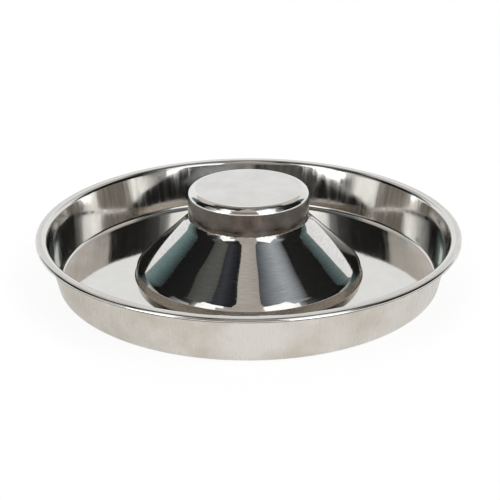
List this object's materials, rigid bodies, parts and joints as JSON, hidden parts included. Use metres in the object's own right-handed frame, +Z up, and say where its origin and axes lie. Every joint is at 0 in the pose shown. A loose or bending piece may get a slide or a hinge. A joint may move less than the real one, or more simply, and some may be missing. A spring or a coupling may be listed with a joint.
{
  "type": "slow feeder dog bowl",
  "caption": "Round polished steel pet saucer with a flat-topped cone in the middle that leaves a shallow ring for food, so a dog eats slowly.",
  "frame": {"origin": "on the bowl's axis, in the plane it stands on", "axes": "+Z up along the bowl's axis, towards the cap; the bowl looks the same from every side, and -Y is the side seen in the picture"},
  "size_m": [0.29, 0.29, 0.0625],
  "materials": {
    "stainless": "mirror polished inside and on the cone, satin on flange, wall outside and underside"
  },
  "bodies": {
    "root": {"bowl": "stainless"}
  },
  "joints": []
}
